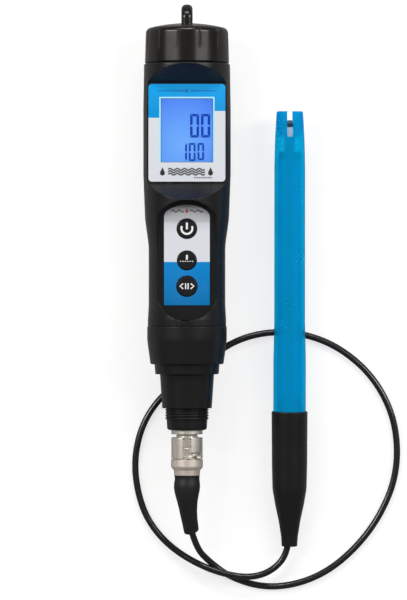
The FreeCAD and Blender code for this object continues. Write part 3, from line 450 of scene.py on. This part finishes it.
def lit_display():
    material = bpy.data.materials.new("display_glass")
    material.use_nodes = True
    tree = material.node_tree
    join = tree.links.new
    principled = tree.nodes["Principled BSDF"]
    place = add(tree, "ShaderNodeTexCoord")
    away = add(tree, "ShaderNodeVectorMath", operation="DISTANCE")
    away.inputs[1].default_value = GLOW_ACROSS, GLOW_UP, GLASS_HIGH.z
    join(place.outputs["Object"], away.inputs[0])
    ramp = add(tree, "ShaderNodeMapRange")
    ramp.inputs["From Max"].default_value = GLOW_REACH
    join(away.outputs["Value"], ramp.inputs["Value"])
    colour = add(tree, "ShaderNodeMix", data_type="RGBA")
    colour.inputs["A"].default_value = (*GLOW_PALE, 1)
    colour.inputs["B"].default_value = (*GLOW_DEEP, 1)
    join(ramp.outputs["Result"], colour.inputs["Factor"])
    mottle = add(tree, "ShaderNodeTexNoise", Scale=1800.0, Detail=1.0)
    join(place.outputs["Object"], mottle.inputs["Vector"])
    spread = add(tree, "ShaderNodeMapRange")
    spread.inputs["To Min"].default_value = 0.3
    spread.inputs["To Max"].default_value = 0.42
    join(mottle.outputs["Fac"], spread.inputs["Value"])
    join(spread.outputs["Result"], principled.inputs["Roughness"])
    join(colour.outputs["Result"], principled.inputs["Emission Color"])
    principled.inputs["Base Color"].default_value = (0.02, 0.05, 0.12, 1)
    principled.inputs["Emission Strength"].default_value = GLOW_STRENGTH
    return material


LIT_GLASS = lit_display()
print("lit glass reaches its deep blue at, mm:", GLOW_REACH / MM)

# %% [markdown]
# Over the glass is a clear window, and on glass and films there is ink. Inks are thin matt
# layers, so each is a plain finish with little bump. The display's ink is lit a little through
# its edges, so it is blue and not black.

# %% Window and inks
WINDOW = finish_of("clear_window", (0.95, 0.97, 1.0), (0.9, 0.93, 0.98), 0.1, size=1.5,
                   smooth=0.02, rough=0.06, bump=0.0005, Transmission_Weight=1.0, IOR=1.2)
INK_BLUE = finish_of("display_ink", (0.0, 0.004, 0.06), (0.0, 0.005, 0.07), 0.2, size=0.3,
                     smooth=0.5, rough=0.6, bump=0.001, Specular_IOR_Level=0.1,
                     Emission_Color=(0.003, 0.05, 0.4, 1), Emission_Strength=1.0)
FRAME_LINE = finish_of("frame_line", (0.42, 0.83, 0.98), (0.36, 0.75, 0.92), 0.2, size=0.3,
                       smooth=0.3, rough=0.4, bump=0.001)
PRINT_DARK = finish_of("dark_print", (0.018, 0.018, 0.02), (0.035, 0.035, 0.037), 0.3, size=0.2,
                       smooth=0.38, rough=0.5, bump=0.001)
PRINT_BLUE = finish_of("blue_print", (0.0, 0.1, 0.42), (0.0, 0.13, 0.5), 0.3, size=0.2,
                       smooth=0.38, rough=0.5, bump=0.001)
PRINT_WHITE = finish_of("white_print", (0.86, 0.87, 0.9), (0.76, 0.77, 0.8), 0.2, size=0.2,
                        smooth=0.38, rough=0.5, bump=0.001)
PRINT_RED = finish_of("red_print", (0.45, 0.05, 0.06), (0.5, 0.1, 0.1), 0.3, size=0.2,
                      smooth=0.38, rough=0.5, bump=0.001)
print("inks:", [item.name for item in (INK_BLUE, FRAME_LINE, PRINT_DARK, PRINT_BLUE,
                                       PRINT_WHITE, PRINT_RED)])

# %% [markdown]
# Plated brass of the bayonet joint: a warm, slightly soft mirror with a fine grain. A full
# mirror would show the dim room and look black, so these keep part of a plain colour. The
# contacts are gold plate, the screws and cells bright steel.

# %% Metals
NICKEL = finish_of("nickel", (0.84, 0.79, 0.72), (0.74, 0.68, 0.6), 0.4, size=0.25, smooth=0.27,
                   rough=0.4, bump=0.002, edge=0.15, Metallic=0.8)
WARM_NICKEL = finish_of("warm_nickel", (0.84, 0.75, 0.66), (0.76, 0.66, 0.57), 0.4, size=0.25,
                        smooth=0.33, rough=0.46, bump=0.002, edge=0.2, Metallic=0.65)
STEEL = finish_of("steel", (0.62, 0.62, 0.61), (0.5, 0.5, 0.49), 0.4, size=0.3, smooth=0.22,
                  rough=0.36, bump=0.002, Metallic=1.0)
GOLD = finish_of("gold_contact", (0.88, 0.66, 0.27), (0.75, 0.52, 0.2), 0.4, size=0.3,
                 smooth=0.2, rough=0.32, bump=0.001, Metallic=1.0)
SILVER = finish_of("silver_wire", (0.85, 0.85, 0.84), (0.6, 0.6, 0.62), 0.5, size=0.2,
                   smooth=0.2, rough=0.4, bump=0.001, Metallic=1.0)
COPPER = finish_of("copper_wire", (0.83, 0.43, 0.25), (0.6, 0.3, 0.2), 0.4, size=0.3,
                   smooth=0.25, rough=0.4, bump=0.001, Metallic=1.0)
PLATINUM = finish_of("platinum_band", (0.16, 0.17, 0.21), (0.3, 0.31, 0.34), 0.5, size=0.2,
                     smooth=0.2, rough=0.35, bump=0.001, Metallic=1.0)
print("metals:", [item.name for item in (NICKEL, WARM_NICKEL, STEEL, GOLD, SILVER, COPPER,
                                         PLATINUM)])

# %% [markdown]
# The tube is a clear blue plastic. Light passes its front and back walls and comes back from the
# table, so a pale tint per wall already gives a strong blue. The glass parts inside are darker
# and greyer.

# %% Clear and white plastics
TUBE_BLUE = finish_of("blue_tube", (0.003, 0.5, 0.87), (0.002, 0.48, 0.85), 0.2, size=1.2,
                      smooth=0.2, rough=0.28, bump=0.0005, Transmission_Weight=0.6, IOR=1.08,
                      Specular_IOR_Level=0.4)
STEM_GLASS = finish_of("blue_glass", (0.006, 0.2, 0.4), (0.005, 0.16, 0.34), 0.4, size=0.8,
                       smooth=0.1, rough=0.22, bump=0.001, Transmission_Weight=0.5, IOR=1.15)
BULB_GLASS = finish_of("clear_glass", (0.62, 0.76, 0.9), (0.5, 0.68, 0.86), 0.3, size=0.8,
                       smooth=0.03, rough=0.1, bump=0.001, Transmission_Weight=0.7, IOR=1.4)
SEAL_BLUE = finish_of("blue_seal", (0.0, 0.13, 0.42), (0.0, 0.17, 0.5), 0.4, size=0.5,
                      smooth=0.35, rough=0.5, bump=0.002)
WHITE = finish_of("white_plastic", (0.8, 0.8, 0.77), (0.7, 0.69, 0.65), 0.4, size=0.4,
                  smooth=0.35, rough=0.5, bump=0.002)
BOARD = finish_of("board_laminate", (0.02, 0.16, 0.07), (0.03, 0.22, 0.1), 0.5, size=0.5,
                  smooth=0.25, rough=0.4, bump=0.003)
EPOXY = finish_of("chip_epoxy", (0.02, 0.02, 0.022), (0.035, 0.035, 0.037), 0.4, size=0.2,
                  smooth=0.45, rough=0.6, bump=0.003)
BACKLIGHT = finish_of("backlight", (0.4, 0.62, 1.0), (0.35, 0.56, 0.95), 0.3, size=0.3,
                      smooth=0.3, rough=0.45, bump=0.001)
print("tube lets through:",
      round(TUBE_BLUE.node_tree.nodes["Principled BSDF"].inputs["Transmission Weight"]
            .default_value, 2))

# %% [markdown]
# Each part takes its finish by the slot that its record names, so nothing is left plain. A few
# neighbours of one slot differ a little in reality, such as the warmer rear half of the plug.

# %% Finishes onto the parts
BY_SLOT = {
    "black_plastic": BLACK, "black_rubber": RUBBER, "cable_jacket": JACKET,
    "button_plastic": KEY_BLACK, "label_film": DISPLAY_FILM, "clear_window": WINDOW,
    "display_glass": LIT_GLASS, "backlight": BACKLIGHT, "board_laminate": BOARD,
    "steel": STEEL, "chip_epoxy": EPOXY, "gold_contact": GOLD, "white_plastic": WHITE,
    "nickel": NICKEL, "blue_tube": TUBE_BLUE, "blue_glass": STEM_GLASS,
    "clear_glass": BULB_GLASS, "platinum_band": PLATINUM, "blue_seal": SEAL_BLUE,
    "silver_wire": SILVER, "copper_wire": COPPER}
BY_NODE = {"keypad_label": KEY_FILM, "plug_shell": WARM_NICKEL, "crimp_ferrule": WARM_NICKEL,
           "battery_cap": CAP_BLACK}


def dress(piece, material):
    piece.data.materials.clear()
    piece.data.materials.append(material)


for entry in frame["record"]["subparts"]:
    node = entry["node"]
    dress(frame["nodes"][node], BY_NODE.get(node, BY_SLOT[entry["material_slot"]]))
dress(cable, JACKET)

# %% [markdown]
# The floor is a light table: it glows for the eye and through the clear parts, so it stays white
# beside black plastic and lights the blue tube from behind. For mirror rays it stays dim, so it
# doesn't wash out the black sides. A bright plain floor alone would do exactly that.

# %% Light table
TABLE_GLOW = 0.72
floor_white = finish_of("table_white", (0.34, 0.34, 0.34), (0.32, 0.32, 0.32), 0.2, size=4.0,
                        smooth=0.6, rough=0.7, bump=0.001, Emission_Color=(1, 1, 1, 1))
light_table = floor_white.node_tree
ray = add(light_table, "ShaderNodeLightPath")
seen = add(light_table, "ShaderNodeMath", operation="MAXIMUM")
glow = add(light_table, "ShaderNodeMath", operation="MULTIPLY")
glow.inputs[1].default_value = TABLE_GLOW
light_table.links.new(ray.outputs["Is Camera Ray"], seen.inputs[0])
light_table.links.new(ray.outputs["Is Transmission Ray"], seen.inputs[1])
light_table.links.new(seen.outputs[0], glow.inputs[0])
light_table.links.new(glow.outputs[0],
                      light_table.nodes["Principled BSDF"].inputs["Emission Strength"])
dress(floor, floor_white)
print("table glow:", TABLE_GLOW)


# %% [markdown]
# Ink on a film is a thin layer with its own edge. Every mark is a flat shape with a small
# thickness that stands on the film or glass. This helper turns outlines into one such mesh.

# %% Marks as thin shapes
INK = 0.05 * MM


def prism(outlines, low, thick):
    """Points and faces of flat shapes: each outline is a ring of (x, y) points, anticlockwise."""
    points, faces = [], []
    for ring in outlines:
        start, count = len(points), len(ring)
        points += [(x, y, low) for x, y in ring] + [(x, y, low + thick) for x, y in ring]
        faces.append([start + i for i in reversed(range(count))])
        faces.append([start + count + i for i in range(count)])
        for i in range(count):
            after = (i + 1) % count
            faces.append([start + i, start + after, start + count + after, start + count + i])
    return points, faces


def strip_points(line, width):
    """The outline of a band of this width along an open line of (x, y) points."""
    left, right = [], []
    for i, point in enumerate(line):
        before, after = line[max(i - 1, 0)], line[min(i + 1, len(line) - 1)]
        dx, dy = after[0] - before[0], after[1] - before[1]
        length = math.hypot(dx, dy)
        nx, ny = -dy / length * width / 2, dx / length * width / 2
        left.append((point[0] + nx, point[1] + ny))
        right.append((point[0] - nx, point[1] - ny))
    return right + left[::-1]


def arc_line(x, y, radius, start, end, steps):
    """Points on an arc, angles in degrees."""
    turn = [math.radians(start + (end - start) * i / steps) for i in range(steps + 1)]
    return [(x + radius * math.cos(angle), y + radius * math.sin(angle)) for angle in turn]


def block(x0, y0, x1, y1):
    return [(x0, y0), (x1, y0), (x1, y1), (x0, y1)]


def mark(name, outlines, level, material, body):
    """One printed mark, standing on height level, riding on a body."""
    scaled = [[(x * MM, y * MM) for x, y in ring] for ring in outlines]
    points, faces = prism(scaled, level, INK)
    data = bpy.data.meshes.new(name)
    data.from_pydata(points, [], faces)
    data.update()
    piece = bpy.data.objects.new(name, data)
    bpy.context.scene.collection.objects.link(piece)
    dress(piece, material)
    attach(piece, body)


print("ink thickness, mm:", INK / MM)

# %% [markdown]
# The figures are seven-segment figures, as such displays have: a pair of large noughts and a
# smaller row below. A text object would bring a typeface with it, so each bar is drawn, with
# mitred ends and a thin gap between neighbours.

# %% Display figures
def figure(left, bottom, right, top, width, lit):
    """The lit bars of one figure whose outer edges are given. lit names bars a to f: the
    crossbar is never lit here."""
    middle = (bottom + top) / 2
    gap = width * 0.1
    inner_left, inner_right = left + width, right - width
    inner_low, inner_high = bottom + width, top - width
    half = width / 2
    bars = {
        "a": [(inner_left + gap, inner_high), (inner_right - gap, inner_high),
              (right - gap, top), (left + gap, top)],
        "b": [(inner_right, middle + half), (right, middle + gap), (right, top - gap),
              (inner_right, inner_high - gap)],
        "c": [(inner_right, inner_low + gap), (right, bottom + gap), (right, middle - gap),
              (inner_right, middle - half)],
        "d": [(left + gap, bottom), (right - gap, bottom), (inner_right - gap, inner_low),
              (inner_left + gap, inner_low)],
        "e": [(left, bottom + gap), (inner_left, inner_low + gap), (inner_left, middle - half),
              (left, middle - gap)],
        "f": [(left, middle + gap), (inner_left, middle + half), (inner_left, inner_high - gap),
              (left, top - gap)]}
    return [bars[name] for name in lit]


def on_display(*numbers):
    """Distances in mm from the lower left corner of the window, as places in the frame."""
    left, low = WINDOW_LOW.x / MM, WINDOW_LOW.y / MM
    return [number + (left if i % 2 == 0 else low) for i, number in enumerate(numbers)]


NOUGHT = "abcdef"
ONE = "bc"
BIG_BAR = 1.15
SMALL_BAR = 0.9
GLASS_GAP = 0.01 * MM
big = figure(*on_display(13.4, 11.3, 17.5, 22.1), BIG_BAR, NOUGHT)
big += figure(*on_display(18.4, 11.3, 22.6, 22.1), BIG_BAR, NOUGHT)
small = figure(*on_display(10.0, 0.5, 12.0, 8.8), SMALL_BAR, ONE)
small += figure(*on_display(12.8, 0.5, 15.9, 8.8), SMALL_BAR, NOUGHT)
small += figure(*on_display(16.8, 0.9, 19.8, 8.8), SMALL_BAR, NOUGHT)
mark("display_figures", big + small, GLASS_HIGH.z + GLASS_GAP, INK_BLUE, "meter")
print("display bars:", len(big) + len(small))

# %% [markdown]
# A pale line frames the window's top and sides. It stands out on the blue part of the film and
# is lost on the white part. It could be part of the film's colour, but three thin blocks of ink
# stay crisp at any distance.

# %% Window line
LINE = 0.7
x0, y0, x1, y1 = on_display(-LINE, 0.0, (WINDOW_HIGH.x - WINDOW_LOW.x) / MM + LINE,
                            (WINDOW_HIGH.y - WINDOW_LOW.y) / MM + LINE)
window_line = [block(x0, y0, x0 + LINE, y1 - LINE), block(x1 - LINE, y0, x1, y1 - LINE),
               block(x0, y1 - LINE, x1, y1)]
mark("window_line", window_line, LABEL_HIGH.z, FRAME_LINE, "meter")
print("window line width, mm:", LINE)


# %% [markdown]
# Such films carry words. Here plain signs take their places: two drops and a band of waves under
# the display, a row of ticks above it, and two waves with a drop between them on the key film.
# Each sign is drawn from arcs and sine lines, with no typeface.

# %% Signs on the films
WAVE_STEPS = 64


def drop(x, y, radius):
    """A water drop with its round end at x, y."""
    return arc_line(x, y, radius, -215, 35, 20) + [(x, y + radius * 2.3)]


def wave(x0, x1, y, height, turns, width):
    line = []
    for i in range(WAVE_STEPS + 1):
        share = i / WAVE_STEPS
        line.append((x0 + (x1 - x0) * share, y + height * math.sin(2 * math.pi * turns * share)))
    return strip_points(line, width)


def label_signs():
    left, low = METER_X / MM - 12.6, LABEL_LOW.y / MM
    signs = [drop(left + 1.4, low + 3.9, 1.15), drop(left + 23.4, low + 3.9, 1.15)]
    for level in (3.4, 4.5, 5.6):
        signs.append(wave(left + 4.0, left + 20.8, low + level, 0.42, 5, 0.62))
    mark("film_signs", signs, LABEL_HIGH.z, PRINT_DARK, "meter")
    ticks = [block(left + 15.9 + i * 1.05, low + 1.5, left + 16.5 + i * 1.05, low + 2.1)
             for i in range(8)]
    mark("film_ticks", ticks, LABEL_HIGH.z, PRINT_DARK, "meter")
    row = []
    for i in range(36):
        x = METER_X / MM - 13.4 + i * 0.76
        if abs(x - METER_X / MM) > 1.2:
            row.append(block(x, low + 41.3, x + 0.5, low + 41.8))
    row.append(drop(METER_X / MM, low + 41.4, 0.5))
    mark("film_rule", row, LABEL_HIGH.z, PRINT_BLUE, "meter")
    middle = METER_X / MM
    top = KEYS_HIGH.y / MM
    mark("key_film_wave", [wave(middle - 7.2, middle - 1.3, top - 2.9, 0.5, 2, 0.42),
                           wave(middle + 1.3, middle + 7.2, top - 2.9, 0.5, 2, 0.42)],
         KEYS_HIGH.z, PRINT_DARK, "meter")
    mark("key_film_dot", [drop(middle, top - 3.1, 0.7)], KEYS_HIGH.z, PRINT_RED, "meter")


label_signs()


# %% [markdown]
# Key signs: the standby sign on the first key, a lamp over a short rule on the second, and a
# left arrow, two bars and a right arrow on the third. A real key is printed all at once, so each
# sign is one piece, and it rides on its key's body and moves down with it.

# %% Signs on the keys
def key_middle(node):
    low, high = corners(node)
    return (low.x + high.x) / 2 / MM, (low.y + high.y) / 2 / MM, high.z


def key_signs():
    x, y, top = key_middle("power_button")
    mark("standby_sign", [strip_points(arc_line(x, y + 0.1, 2.5, -205, 25, 40), 0.9),
                          block(x - 0.45, y - 0.3, x + 0.45, y + 2.8)], top, PRINT_WHITE,
         "power_key")
    x, y, top = key_middle("light_button")
    lamp_sign = arc_line(x, y + 0.7, 0.45, -180, 0, 12) + arc_line(x, y + 2.1, 0.45, 0, 180, 12)
    rule = [block(x - 3.2 + i * 1.1, y - 0.6, x - 2.55 + i * 1.1, y - 0.25) for i in range(6)]
    mark("lamp_sign", [lamp_sign] + rule, top, PRINT_WHITE, "light_key")
    x, y, top = key_middle("set_button")
    arrows = [strip_points([(x - 1.7, y - 1.2), (x - 3.2, y), (x - 1.7, y + 1.2)], 0.6),
              block(x - 0.85, y - 1.35, x - 0.3, y + 1.35),
              block(x + 0.3, y - 1.35, x + 0.85, y + 1.35),
              strip_points([(x + 1.7, y + 1.2), (x + 3.2, y), (x + 1.7, y - 1.2)], 0.6)]
    mark("step_sign", arrows, top, PRINT_WHITE, "set_key")


key_signs()

# %% [markdown]
# The last cell brings the scene up to date.

# %% Scene update
bpy.context.view_layer.update()
